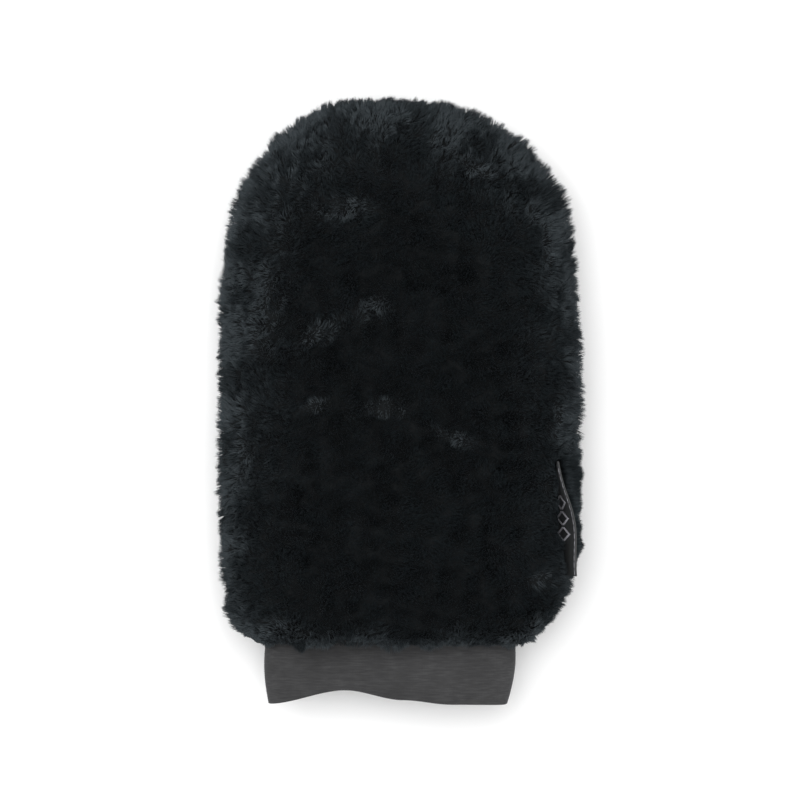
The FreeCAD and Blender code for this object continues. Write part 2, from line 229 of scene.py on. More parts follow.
def closed_shell(name, outer, inner, material, flip):
    """A closed cloth from two grids of points of the same size, joined round their borders."""
    rows, columns = outer.shape[:2]
    count = rows * columns
    rim = grid_rim(rows, columns)
    after = np.roll(rim, -1)
    wall = np.stack([rim, rim + count, after + count, after], -1)
    faces = [grid_faces(rows, columns, 0, flip=flip), grid_faces(rows, columns, count, flip=not flip),
             wall[:, ::-1] if flip else wall]
    return make_mesh(name, np.concatenate([outer.reshape(-1, 3), inner.reshape(-1, 3)]), faces, material)


def set_point_values(piece, name, values):
    attribute = piece.data.attributes.new(name, "FLOAT", "POINT")
    attribute.data.foreach_set("value", np.asarray(values, np.float32))


# a stitch is a grid of points in rings, thick in the middle and thin at both ends. These are how far
# each point is along it, to its side and above it, as shares of its half length and half width.
STITCH_STEPS, STITCH_SIDES = 9, 6
STITCH_ALONG, around = np.broadcast_arrays(
    np.linspace(-1, 1, STITCH_STEPS)[:, None],
    np.linspace(0, 2 * math.pi, STITCH_SIDES, endpoint=False)[None, :])
STITCH_THICK = np.sqrt(1.03 - STITCH_ALONG ** 2)     # a little over 1: its ends aren't points
STITCH_SIDE = np.cos(around) * STITCH_THICK
STITCH_RISE = np.sin(around) * STITCH_THICK


def stitch_mesh(name, stitches, material):
    """One mesh of many separate closed stitches, each a grid of points."""
    faces, caps = [], []
    for k in range(len(stitches)):
        first = k * STITCH_STEPS * STITCH_SIDES
        last = first + (STITCH_STEPS - 1) * STITCH_SIDES
        faces.append(grid_faces(STITCH_STEPS, STITCH_SIDES, first, wrap=True))
        caps.append(np.arange(STITCH_SIDES)[::-1] + first)
        caps.append(np.arange(STITCH_SIDES) + last)
    return make_mesh(name, np.array(stitches), [np.concatenate(faces), np.array(caps)], material)


# ---- materials ----
class Nodes:
    """A node material, built one node at a time."""

    def __init__(self, name, roughness, specular=0.3):
        self.material = bpy.data.materials.new(name)
        self.material.use_nodes = True
        self.tree = self.material.node_tree
        self.shader = self.tree.nodes["Principled BSDF"]
        self.shader.inputs["Roughness"].default_value = roughness
        self.shader.inputs["Specular IOR Level"].default_value = specular
        self.position = self.tree.nodes.new("ShaderNodeTexCoord").outputs["Object"]

    def link(self, source, target):
        self.tree.links.new(source, target)

    def feed(self, value, socket):
        """Gives a socket a colour, a number or another node's output."""
        if isinstance(value, tuple):
            socket.default_value = (*value, 1)
        elif isinstance(value, (int, float)):
            socket.default_value = value
        else:
            self.link(value, socket)

    def sheen(self, weight, roughness, tint):
        self.shader.inputs["Sheen Weight"].default_value = weight
        self.shader.inputs["Sheen Roughness"].default_value = roughness
        self.shader.inputs["Sheen Tint"].default_value = (*tint, 1)

    def stretched(self, scale):
        """The object's coordinates, multiplied by a scale for each axis."""
        node = self.tree.nodes.new("ShaderNodeMapping")
        node.inputs["Scale"].default_value = scale
        self.link(self.position, node.inputs["Vector"])
        return node.outputs["Vector"]

    def noise(self, scale, detail=3.0, vector=None):
        node = self.tree.nodes.new("ShaderNodeTexNoise")
        node.inputs["Scale"].default_value = scale
        node.inputs["Detail"].default_value = detail
        self.link(vector or self.position, node.inputs["Vector"])
        return node.outputs["Fac"]

    def wave(self, scale, direction, distortion):
        node = self.tree.nodes.new("ShaderNodeTexWave")
        node.bands_direction = direction
        node.inputs["Scale"].default_value = scale
        node.inputs["Distortion"].default_value = distortion
        node.inputs["Detail Scale"].default_value = 2.0
        self.link(self.position, node.inputs["Vector"])
        return node.outputs["Fac"]

    def attribute(self, name):
        node = self.tree.nodes.new("ShaderNodeAttribute")
        node.attribute_name = name
        return node.outputs["Fac"]

    def ramp(self, factor, stops):
        node = self.tree.nodes.new("ShaderNodeValToRGB")
        elements = node.color_ramp.elements
        while len(elements) < len(stops):
            elements.new(0.5)
        for element, (place, colour) in zip(elements, stops):
            element.position = place
            element.color = (*colour, 1)
        self.link(factor, node.inputs["Fac"])
        return node.outputs["Color"]

    def math(self, operation, first, second):
        node = self.tree.nodes.new("ShaderNodeMath")
        node.operation = operation
        for value, socket in zip((first, second), node.inputs):
            self.feed(value, socket)
        return node.outputs["Value"]

    def mix(self, factor, first, second, blend="MIX"):
        node = self.tree.nodes.new("ShaderNodeMix")
        node.data_type = "RGBA"
        node.blend_type = blend
        # the sockets for the factor and for the two colours
        for value, k in zip((factor, first, second), (0, 6, 7)):
            self.feed(value, node.inputs[k])
        return node.outputs[2]

    def bump(self, height, strength, distance):
        node = self.tree.nodes.new("ShaderNodeBump")
        node.inputs["Strength"].default_value = strength
        node.inputs["Distance"].default_value = distance
        self.link(height, node.inputs["Height"])
        if self.shader.inputs["Normal"].is_linked:
            self.link(self.shader.inputs["Normal"].links[0].from_socket, node.inputs["Normal"])
        self.link(node.outputs["Normal"], self.shader.inputs["Normal"])

    def colour(self, socket):
        self.link(socket, self.shader.inputs["Base Color"])


# towards the root the fibres are darkened: painted shade deep in the pile
PILE_ROOT_SHADE = (0.0014, 0.0019, 0.0022)
PILE_MID = (0.0048, 0.0064, 0.0074)
PILE_TIP = (0.0060, 0.0080, 0.0093)
# the lighter colour for painted rim light and painted sheen
PILE_PAINTED_LIGHT = (0.0600, 0.0710, 0.0780)


def pile_material():
    """Black polyester fibres, darker towards the root as painted shade deep in the pile. tint is how much
    painted light a fibre gets: painted rim light, and a painted sheen where the pile is parted.
    """
    nodes = Nodes("plush_pile", 0.55, 0.14)
    nodes.shader.inputs["Specular Tint"].default_value = (0.75, 0.92, 1.0, 1)
    nodes.sheen(0.05, 0.4, (0.80, 0.90, 1.0))
    # darker towards the root: painted shade deep in the pile
    colour = nodes.ramp(nodes.attribute("along"), [(0.0, PILE_ROOT_SHADE), (0.5, PILE_MID), (1.0, PILE_TIP)])
    speckle = nodes.ramp(nodes.noise(700, 2), [(0.35, (0.6,) * 3), (0.7, (1.0,) * 3)])
    # the lighter colour that tint mixes in is painted light: painted rim light and a painted sheen at the
    # partings
    colour = nodes.mix(nodes.math("MULTIPLY", nodes.attribute("tint"), speckle), colour, PILE_PAINTED_LIGHT)
    nodes.colour(colour)
    roughness = nodes.ramp(nodes.noise(900, 2), [(0.3, (0.46,) * 3), (0.7, (0.64,) * 3)])
    nodes.link(roughness, nodes.shader.inputs["Roughness"])
    return nodes.material


def pile_ground_material():
    """The dense mass of fibres between the tufts, darkened towards the root colour as painted shade deep in
    the pile.
    """
    nodes = Nodes("plush_depth", 0.8, 0.15)
    fibres = nodes.noise(1600, 4)
    nodes.colour(nodes.ramp(fibres, [(0.3, PILE_ROOT_SHADE), (0.7, PILE_MID)]))
    nodes.bump(fibres, 0.8, 0.6 * MM)
    nodes.bump(nodes.noise(350, 3), 0.6, 1.5 * MM)
    return nodes.material


def knit_material():
    """The black knitted ground cloth that the pile is locked into."""
    nodes = Nodes("knitted_ground", 0.85, 0.2)
    loops = nodes.math("MULTIPLY", nodes.wave(260, "X", 1.2), nodes.wave(330, "Y", 1.2))
    nodes.colour(nodes.ramp(loops, [(0.0, (0.006, 0.0065, 0.007)), (0.8, (0.022, 0.023, 0.025))]))
    nodes.bump(loops, 0.7, 0.3 * MM)
    return nodes.material


def lining_material():
    """A smooth plain-woven lining, dark grey, with a soft silky sheen."""
    nodes = Nodes("woven_lining", 0.5, 0.4)
    nodes.sheen(0.25, 0.35, (0.9, 0.92, 1.0))
    weave = nodes.math("MULTIPLY", nodes.wave(620, "X", 0.5), nodes.wave(620, "Y", 0.5))
    shade = nodes.mix(nodes.noise(45, 3), (0.018, 0.019, 0.021), (0.036, 0.037, 0.040))
    nodes.colour(nodes.mix(weave, shade, (0.055, 0.057, 0.062)))
    nodes.bump(weave, 0.35, 0.12 * MM)
    return nodes.material


WEBBING_DARK = (0.024, 0.024, 0.025)
WEBBING_MID = (0.034, 0.034, 0.035)
WEBBING_LIGHT = (0.052, 0.052, 0.053)


def webbing_material():
    """Charcoal elastic webbing: heathered yarn that runs round the cuff, crossed by fine binders."""
    nodes = Nodes("elastic_webbing", 0.78, 0.25)
    nodes.sheen(0.18, 0.5, (0.95, 0.95, 1.0))
    streaks = nodes.noise(1.0, 5, nodes.stretched((150, 1250, 700)))
    colour = nodes.ramp(streaks, [(0.25, WEBBING_DARK), (0.5, WEBBING_MID), (0.8, WEBBING_LIGHT)])
    for size, light in ((28, 1.16), (120, 1.10)):
        blotches = nodes.ramp(nodes.noise(size, 3), [(0.35, (0.84,) * 3), (0.7, (light,) * 3)])
        colour = nodes.mix(1.0, colour, blotches, "MULTIPLY")
    binders = nodes.wave(420, "X", 0.8)
    colour = nodes.mix(nodes.math("MULTIPLY", binders, 0.25), colour, WEBBING_DARK)
    nodes.colour(colour)
    nodes.bump(streaks, 0.5, 0.25 * MM)
    nodes.bump(binders, 0.35, 0.12 * MM)
    return nodes.material


def thread_material():
    """Twisted black polyester sewing thread."""
    nodes = Nodes("sewing_thread", 0.45, 0.45)
    twist = nodes.noise(2600, 2)
    nodes.colour(nodes.ramp(twist, [(0.3, (0.010, 0.010, 0.011)), (0.7, (0.030, 0.030, 0.032))]))
    nodes.bump(twist, 0.5, 0.1 * MM)
    return nodes.material


def ribbon_material():
    """Black satin ribbon, with fine lines along its length and a soft gloss."""
    nodes = Nodes("satin_ribbon", 0.42, 0.4)
    nodes.sheen(0.1, 0.3, (0.9, 0.95, 1.0))
    floats = nodes.noise(1.0, 3, nodes.stretched((2600, 160, 2600)))
    nodes.colour(nodes.ramp(floats, [(0.3, (0.014, 0.015, 0.015)), (0.75, (0.031, 0.033, 0.034))]))
    nodes.bump(floats, 0.4, 0.1 * MM)
    return nodes.material


def motif_material():
    """Light grey embroidery yarn."""
    nodes = Nodes("motif_yarn", 0.42, 0.5)
    nodes.sheen(0.2, 0.3, (1.0, 1.0, 1.0))
    strands = nodes.noise(1.0, 2, nodes.stretched((500, 4200, 500)))
    nodes.colour(nodes.ramp(strands, [(0.3, (0.26, 0.26, 0.29)), (0.7, (0.55, 0.55, 0.60))]))
    nodes.bump(strands, 0.5, 0.1 * MM)
    return nodes.material


pile_fibre = pile_material()
pile_depth = pile_ground_material()
knit = knit_material()
lining_cloth = lining_material()
webbing = webbing_material()
thread = thread_material()
ribbon_satin = ribbon_material()
motif_yarn = motif_material()


# ---- cloth layers ----
LAST_STATION = math.radians(89)


def surface_grid(surface, side, rows, columns):
    """A grid of points over one half of a nested surface."""
    station = np.linspace(-math.pi / 2, LAST_STATION, rows)[:, None]
    angle = np.linspace(0, math.pi, columns)[None, :]
    station, angle = np.broadcast_arrays(station, angle)
    return surface.at(angle, station, side)


def inward(points, side):
    """Unit directions from points on a surface towards the middle of the mitt, square to its length."""
    slant, fall = 0.12, 20 * MM
    towards = np.zeros_like(points)
    towards[..., 0] = -slant * (points[..., 0] - CUFF_X)
    towards[..., 2] = -side * fall
    return towards / np.linalg.norm(towards, axis=-1, keepdims=True)


def backing_layer(name, side):
    """The knitted cloth of one panel, down to the lining."""
    rows, columns = 90, 70
    outer = surface_grid(backing_surface, side, rows, columns)
    inner = surface_grid(lining_surface, side, rows, columns)
    return closed_shell(name, outer, inner, knit, side > 0)


def lining_layer(name, side):
    """The lining, with the soft wrinkles of a cloth that is a little larger than the space it lines."""
    rows, columns = 150, 110
    outer = surface_grid(lining_surface, side, rows, columns)
    inner = surface_grid(pocket_surface, side, rows, columns)
    folds, fold_depth = Waves(26 * MM), 0.55 * MM
    fine, fine_depth = Waves(9 * MM), 0.16 * MM
    # no wrinkle at the seams, where the lining is sewn down
    seam_reach = 5 * MM
    fade = np.clip(np.abs(outer[..., 2] - SEAM_Z) / seam_reach, 0, 1)
    depth = np.abs(folds(outer) * fold_depth + fine(outer) * fine_depth) * fade
    shift = inward(outer, side) * depth[..., None]
    return closed_shell(name, outer + shift, inner + shift, lining_cloth, side > 0)


layers = {}
for side_name, side in (("front", 1), ("back", -1)):
    layers[side_name, "backing"] = backing_layer(side_name + "_knitted_backing", side)
    layers[side_name, "lining"] = lining_layer(side_name + "_lining_cloth", side)
    for kind in ("backing", "lining"):
        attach(layers[side_name, kind], "mitt")
        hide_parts(side_name + "_" + kind)


# ---- pile ----
GROUND_DEPTH = 0.72          # how far out the dense mass of fibres reaches, of the pile's depth
FRONT_FIBRES, BACK_FIBRES = 112000, 60000
FRONT_FRINGE, BACK_FRINGE, LABEL_SIDE_FIBRES = 10000, 7000, 7500
ON_FLOOR_SHARE = 0.35        # share of the fibres kept where the pile is pressed on the floor
CLUMP_SPACING = 3.0 * MM
CLUMP_FIBRES = 20            # fibres of a clump at that spacing
CLUMP_PULL = 0.18            # how far a fibre tip moves to its clump's tip, in the middle
RIM_PULL = 0.27              # and how much further at the rim
CLUMP_STRAY = 0.45 * MM      # how far a clump's tip strays from its place
FIBRE_JITTER = 0.36 * MM     # and a single fibre's tip
STRAND_RADIUS = 0.24 * MM
STRAND_START = 0.5           # fibres are drawn from here out, because their roots are hidden
FLOOR_GAP = 0.25 * MM
# places where the pile is parted, in mm and degrees: x, y, half length, half width and turn
PARTINGS = ((-6, -4, 12, 4, 0), (-42, -3, 6, 3, 10), (28, -19, 9, 3, -15), (-13, 46, 9, 5, 30),
            (-40, 34, 11, 4, 25), (-28, 97, 14, 5, 5), (40, 118, 9, 4, -30), (-71, 42, 20, 8, 84),
            (-82, -28, 9, 5, 80), (77, 82, 14, 5, 105), (84, -8, 12, 4, 88), (74, -90, 6, 4, 10))
# places where it leans out of or into the even outline, in mm: place, push and radius
OUTLINE_LEANS = (((-88, -111), (-4.5, 1.0), 8), ((-76, -120), (-0.5, 3.0), 8),
                 ((83, 106), (3.0, 1.5), 14), ((-84, 101), (-2.6, 1.2), 14))

hinge_point = np.array(label_hinge)
label_low_y, label_high_y = label_box[0].y, label_box[1].y
label_length = label_high_y - label_low_y
LABEL_LOW_LEAN = 56          # degrees from +X up to the label at its cuff end
LABEL_TWIST = 30             # degrees that it leans further in at its finger end
LABEL_TWIST_POWER = 1.7      # above 1, so that most of the twist is near the finger end

large_lumps = Waves(34 * MM)
small_lumps = Waves(11 * MM)
mottles, fine_mottles = Waves(24 * MM), Waves(6.5 * MM)
lean_x, lean_y = Waves(60 * MM), Waves(60 * MM)
swirl_x, swirl_y = Waves(17 * MM), Waves(17 * MM)
curl_x, curl_y, curl_z = Waves(7 * MM), Waves(7 * MM), Waves(7 * MM)
cliff_waves = Waves(10 * MM)


def side_name_of(side):
    return "front" if side > 0 else "back"


def rest_on_floor(points):
    """Points that would be under the floor are laid on it."""
    points[..., 2] = np.maximum(points[..., 2], FLOOR_GAP)
    return points


def label_lean(share):
    """Degrees from +X up to the label, at a share of its length from its cuff end."""
    return LABEL_LOW_LEAN + LABEL_TWIST * np.clip(share, 0, 1) ** LABEL_TWIST_POWER


def clear_of_label(points, side):
    """The front pile is held back on the inner side of the label, and the back pile under it.
    At the label's cuff end the front pile lies over its face."""
    fade = 1.4 * MM
    uneven = cliff_waves(points)
    ragged = uneven * 1.5 * MM
    low, high = label_low_y + ragged, label_high_y + ragged
    along = np.minimum(points[..., 1] - (low - fade), (high + fade) - points[..., 1])
    weight = np.clip(along / fade, 0, 1)
    if side > 0:
        share = (points[..., 1] - label_low_y) / label_length
        # degrees up to the edge of the pile: at least a little further in than the label
        beside_label = label_lean(share) + 4
        edge = 61 + 23 * smooth_step(share, 0, 0.5) + 4 * uneven
        lean = np.radians(np.maximum(beside_label, edge))
        normal = np.stack([-np.sin(lean), 0 * lean, np.cos(lean)], -1)
        gap = 0.7 * MM
        short = gap - ((points - hinge_point) * normal).sum(axis=-1)
        return points + (np.maximum(short, 0) * weight)[..., None] * normal
    outside = points[..., 0] > hinge_point[0] - 1.0 * MM
    top = SEAM_Z - 0.6 * MM
    points[..., 2] -= np.maximum(points[..., 2] - top, 0) * weight * outside
    return points


def settled(points, side):
    return clear_of_label(rest_on_floor(points), side)


def pile_ground(side):
    """The dense mass of fibres that the tufts stand in, lumpy like real plush."""
    rows, columns = 260, 200
    root = surface_grid(backing_surface, side, rows, columns)
    tip = surface_grid(pile_surface, side, rows, columns)
    large, small = 0.04, 0.05
    lumps = large_lumps(tip) * large + small_lumps(tip) * small
    least, most = 0.3, 0.85
    share = np.clip(GROUND_DEPTH + lumps, least, most)[..., None]
    outer = settled(root + (tip - root) * share, side)
    # at the mouth the dense mass ends a little inside the fringe
    recess, recess_reach = 3 * MM, 8 * MM
    outer[..., 1] += recess * np.exp((PILE_END_Y - outer[..., 1]) / recess_reach)
    piece = closed_shell(side_name_of(side) + "_pile_ground", outer, root, pile_depth, side > 0)
    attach(piece, "mitt")
    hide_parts(side_name_of(side) + "_pile")
    return piece


def sample_panel(side, count, floor_share):
    """Random places on a panel, evenly spread over its outer surface: (station, angle) arrays.
    floor_share thins them out where the pile is pressed on the floor."""
    rows, columns = 160, 120
    grid = surface_grid(pile_surface, side, rows, columns)
    du = grid[1:, :-1] - grid[:-1, :-1]
    dv = grid[:-1, 1:] - grid[:-1, :-1]
    area = np.linalg.norm(np.cross(du, dv), axis=-1)
    area = np.where(grid[:-1, :-1, 2] < FLOOR_GAP, area * floor_share, area)
    cells = rng.choice(area.size, count, p=(area / area.sum()).ravel())
    i = cells // (columns - 1) + rng.random(count)
    j = cells % (columns - 1) + rng.random(count)
    station = -math.pi / 2 + (LAST_STATION + math.pi / 2) * i / (rows - 1)
    return station, math.pi * j / (columns - 1)


def nap(points, normal, rim):
    """How far the tips lie over to one side, as brushed pile does: smooth over the panel, and
    curling in small swirls at the rim."""
    lean, swirl, curl = 0.9 * MM, 0.7 * MM, (0.3 + 1.1 * rim) * MM
    flow = np.stack([lean_x(points) * lean + swirl_x(points) * swirl,
                     lean_y(points) * lean + swirl_y(points) * swirl, 0 * points[:, 0]], -1)
    flow += np.stack([curl_x(points), curl_y(points), curl_z(points)], -1) * curl[:, None]
    return flow - (flow * normal).sum(axis=1, keepdims=True) * normal


def parting(points):
    """The push that parts the pile, and how strongly it is ruffled, at each point."""
    furthest = 4.5 * MM
    push = np.zeros_like(points)
    ruffled = np.zeros(len(points))
    uneven = np.clip(0.85 + 0.35 * fine_mottles(points), 0.2, 1.3)
    for x, y, half_length, half_width, turn in PARTINGS:
        along = np.array([math.cos(math.radians(turn)), math.sin(math.radians(turn))])
        square = np.array([-along[1], along[0]])
        offset = points[:, :2] - np.array([x, y]) * MM
        u = offset @ along / (half_length * MM)
        v = offset @ square / (half_width * MM)
        strength = np.exp(-u ** 2 - v ** 2) * uneven
        push[:, :2] += (v * strength)[:, None] * square * furthest
        ruffled = np.maximum(ruffled, strength)
    return push, ruffled


def outline_lean(points):
    """How far the pile leans out of, or into, the even outline: at the corner beside the cuff and
    at the shoulders."""
    shift = np.zeros((len(points), 2))
    for place, push, radius in OUTLINE_LEANS:
        offset = (points[:, :2] - np.array(place) * MM) / (radius * MM)
        shift += np.exp(-(offset ** 2).sum(axis=1))[:, None] * np.array(push) * MM
    return shift


def edge_offsets(points):
    """From each point to the nearest point of the mitt's outline, seen from above."""
    steps = 200
    station = np.linspace(-math.pi / 2, LAST_STATION, steps)
    outline = np.concatenate([pile_surface.at(np.full(steps, a), station, 1) for a in (0.0, math.pi)])
    tree = KDTree(len(outline))
    for k, place in enumerate(outline):
        tree.insert((place[0], place[1], 0), k)
    tree.balance()
    nearest = [tree.find((x, y, 0))[1] for x, y, _ in points]
    return outline[nearest][:, :2] - points[:, :2]


def painted_rim_light(points):
    """How much painted rim light the pile gets: lighter near the outline, most of all at the finger end
    and along the left side, which face the lights, with soft random mottled patches."""
    offsets = edge_offsets(points)
    distance = np.linalg.norm(offsets, axis=1)
    outward = offsets / np.maximum(distance, 1e-6)[:, None]
    # painted light: more towards the finger end, and on the rim that faces up the mitt and to the left,
    # towards the lights
    up_mitt = 0.45 + 0.55 * smooth_step(points[:, 1], -100 * MM, 60 * MM)
    lit_rim_way = np.array([-0.14, 0.42])
    gain = np.clip(0.40 + outward @ lit_rim_way, 0.05, 0.85)
    band_width, fringe_width, mouth_width = 25 * MM, 8 * MM, 9 * MM
    band = gain * up_mitt * np.exp(-(distance / band_width) ** 2)
    fringe = 0.40 * up_mitt * np.exp(-(distance / fringe_width) ** 2)
    to_end = np.clip(np.abs(points[:, 0] - CUFF_X) / CUFF_HALF_WIDTH, 0, 1.2)
    mouth = (0.3 + 0.5 * to_end ** 2) * np.exp(-((points[:, 1] - PILE_END_Y) / mouth_width) ** 2)
    mottle = np.clip(0.5 + 0.7 * mottles(points) + 0.5 * fine_mottles(points), 0, 1.6)
    return (band + fringe + mouth) * (0.3 + 1.25 * mottle)


def clumped_tips(tips, normals, spacing, ragged, pull):
    """Moves fibre tips together into clumps, some longer and some shorter than the surface.
    pull is how far each tip moves to its clump's tip."""
    count = max(1, int(len(tips) / CLUMP_FIBRES * (CLUMP_SPACING / spacing) ** 2))
    chosen = rng.choice(len(tips), count, replace=False)
    tree = KDTree(count)
    for k, centre in enumerate(tips[chosen]):
        tree.insert(centre, k)
    tree.balance()
    nearest = np.array([tree.find(tip)[1] for tip in tips])
    taller = rng.normal(0, ragged, count)
    stray = rng.normal(0, CLUMP_STRAY, (count, 3))
    goal = tips[chosen] + normals[chosen] * taller[:, None] + stray
    pull = (pull * rng.uniform(0.7, 1.15, len(tips)))[:, None]
    jitter = rng.normal(0, FIBRE_JITTER, tips.shape)
    return tips + (goal[nearest] - tips) * pull + jitter, nearest


# a fibre has a ring of three points at each of these steps along it, and a point at its tip
STRAND_SIDES = 3
STRAND_STEPS = np.array([0.0, 0.55])
STRAND_WIDTHS = np.array([1.0, 0.75])


def strand_mesh(name, roots, bends, tips, tints, material):
    """Tapered three-sided fibres. Each curves from its root through its bend to its tip."""
    count = len(roots)
    radius = STRAND_RADIUS * rng.uniform(0.75, 1.25, (count, 1, 1, 1))
    direction = unit(tips - roots)
    side = unit(np.cross(direction, rng.normal(size=(count, 3))))
    other = np.cross(direction, side)
    turn = np.arange(STRAND_SIDES) * 2 * math.pi / STRAND_SIDES
    ring = (side[:, None, :] * np.cos(turn)[None, :, None]
            + other[:, None, :] * np.sin(turn)[None, :, None])

    def path(t):
        t = t[None, :, None]
        return ((1 - t) ** 2 * roots[:, None, :] + 2 * t * (1 - t) * bends[:, None, :]
                + t ** 2 * tips[:, None, :])
    centre = path(STRAND_STEPS)
    body = centre[:, :, None, :] + ring[:, None, :, :] * radius * STRAND_WIDTHS[None, :, None, None]
    points = np.concatenate([body.reshape(count, -1, 3), tips[:, None, :]], axis=1)
    sides = grid_faces(len(STRAND_STEPS), STRAND_SIDES, wrap=True)
    tip_index = len(STRAND_STEPS) * STRAND_SIDES
    last = tip_index - STRAND_SIDES
    ends = [[last + k, last + (k + 1) % STRAND_SIDES, tip_index] for k in range(STRAND_SIDES)]
    ends.append(list(range(STRAND_SIDES))[::-1])
    first = (np.arange(count) * (tip_index + 1))[:, None, None]
    quads = (sides[None] + first).reshape(-1, 4)
    triangles = (np.array(ends)[None] + first).reshape(-1, 3)
    piece = make_mesh(name, points, [quads, triangles], material)
    along = np.concatenate([np.repeat(STRAND_STEPS, STRAND_SIDES), [1.0]])
    set_point_values(piece, "along", np.tile(along, count))
    set_point_values(piece, "tint", np.repeat(tints, tip_index + 1))
    unwrap_strands(piece, along, count)
    return piece


def unwrap_strands(piece, along, count):
    """Gives each fibre a small cell of the bake map, with its length up the cell."""
    across = math.ceil(math.sqrt(count))
    cell = np.arange(count)
    corner = np.stack([cell % across, cell // across], -1) / across
    ring_u = np.concatenate([np.tile([0.15, 0.5, 0.85], len(STRAND_STEPS)), [0.5]])
    margin = 0.1
    inside = np.stack([ring_u, margin + (1 - 2 * margin) * along], -1) / across
    uv = (corner[:, None, :] + inside[None, :, :]).reshape(-1, 2)
    layer = piece.data.uv_layers.new(name="OFBake")
    loops = np.empty(len(piece.data.loops), np.int32)
    piece.data.loops.foreach_get("vertex_index", loops)
    layer.data.foreach_set("uv", uv[loops].astype(np.float32).ravel())


def panel_strands(side, count, floor_share):
    """Roots, bends, tips and tints of the fibres of one panel."""
    station, angle = sample_panel(side, count, floor_share)
    root = backing_surface.at(angle, station, side)
    top = pile_surface.at(angle, station, side)
    normal = unit(top - root)
    rim = np.clip(1.25 * (1 - np.abs(normal[:, 2])), 0, 1)
    push, ruffled = parting(top)
    # shares of the pile's height: where the tips are, and how far they rise and fall
    level, lumpy, pressed, uneven = 0.985, 0.035, 0.12, 0.02
    lumps = large_lumps(top) + small_lumps(top)
    height = level + lumpy * lumps - pressed * ruffled + rng.normal(0, uneven, count)
    tip = root + (top - root) * height[:, None] + nap(top, normal, rim) + push * (side > 0)
    tip[:, :2] += outline_lean(top)
    ragged = 0.35 * MM
    tip, clump = clumped_tips(tip, normal, CLUMP_SPACING, ragged, CLUMP_PULL + RIM_PULL * rim)
    # away from the rim the fibres stand upright
    upright = (top - root) * np.array([1, 1, 0]) * (1 - rim)[:, None]
    start = root + (top - root) * STRAND_START + upright * 0.5
    bend = root + (top - root) * 0.75 + upright * 0.2
    start, bend, tip = (settled(p, side) for p in (start, bend, tip))
    clump_tint = 0.6 + 0.8 * rng.random(clump.max() + 1)
    # lighter where the front pile is parted: a painted sheen on the parted fibres, added to the painted rim
    # light and varied at random from clump to clump
    tint = (painted_rim_light(top) + 1.7 * ruffled ** 1.5 * (side > 0)) * clump_tint[clump]
    tint = np.clip(tint + rng.normal(0.004, 0.012, count), 0, 1)
    return start, bend, tip, tint


def panel_tufts(side, count, pieces, floor_share):
    """The fibres of one panel, in bands along its length so that no piece is too large."""
    start, bend, tip, tint = panel_strands(side, count, floor_share)
    order = np.argsort(start[:, 1])
    made = []
    for band, chosen in enumerate(np.array_split(order, pieces)):
        name = "%s_pile_tufts_%d" % (side_name_of(side), band + 1)
        piece = strand_mesh(name, start[chosen], bend[chosen], tip[chosen], tint[chosen], pile_fibre)
        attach(piece, "mitt")
        made.append(piece)
    return made


def mouth_fringe(side, count):
    """The fibres at the cuff end of a panel, which lean out over the start of the cuff."""
    angle = math.pi * rng.random(count)
    far_out = rng.random(count)          # 0 next to the cuff, 1 at the outside of the pile
    mouth = np.full(count, -math.pi / 2)
    root = backing_surface.at(angle, mouth, side)
    across = (pile_surface.at(angle, mouth, side) - root) * np.array([1, 0, 1])
    outward = unit(across)
    reach = np.linalg.norm(across, axis=1) * (0.15 + 0.75 * far_out)
    start = root + outward * (reach * 0.55)[:, None] + np.array([0, 5 * MM, 0])
    tip = root + outward * reach[:, None]
    to_end = np.abs(tip[:, 0] - CUFF_X) / CUFF_HALF_WIDTH
    # millimetres past the end of the pile: more next to the cuff and towards its two ends
    lumps = large_lumps(tip) + small_lumps(tip)
    beyond = 0.4 + 2.0 * (1 - far_out) + 1.6 * lumps + 3.0 * to_end ** 2
    beyond -= 5.5 * smooth_step(to_end, 0.93, 1.04)
    tip[:, 1] -= np.maximum(beyond, -1.0) * MM
    bend = start * 0.4 + tip * 0.6 + outward * 1.2 * MM
    ragged, pull = 0.5 * MM, 0.4
    tip, clump = clumped_tips(tip, outward, CLUMP_SPACING * 0.8, ragged, pull)
    clear = 0.4 * MM
    for points in (start, bend, tip):
        wall = np.abs(cuff_height(points[:, 0])) + clear
        over_cuff = np.abs(points[:, 0] - CUFF_X) < CUFF_HALF_WIDTH
        too_low = over_cuff & (side * (points[:, 2] - SEAM_Z) < wall)
        points[:, 2] = np.where(too_low, SEAM_Z + side * wall, points[:, 2])
        rest_on_floor(points)
    # painted rim light on the fringe, seen edge-on over the cuff: lighter towards the cuff's two ends, with
    # random mottles
    fringe_rim_light = np.clip(0.7 + 0.5 * mottles(tip) + 0.4 * fine_mottles(tip) + 0.6 * to_end ** 2, 0.1, 1.6)
    tint = np.clip(fringe_rim_light * (0.5 + 0.9 * rng.random(clump.max() + 1)[clump]), 0, 1)
    return strand_mesh(side_name_of(side) + "_mouth_fringe", start, bend, tip, tint, pile_fibre)


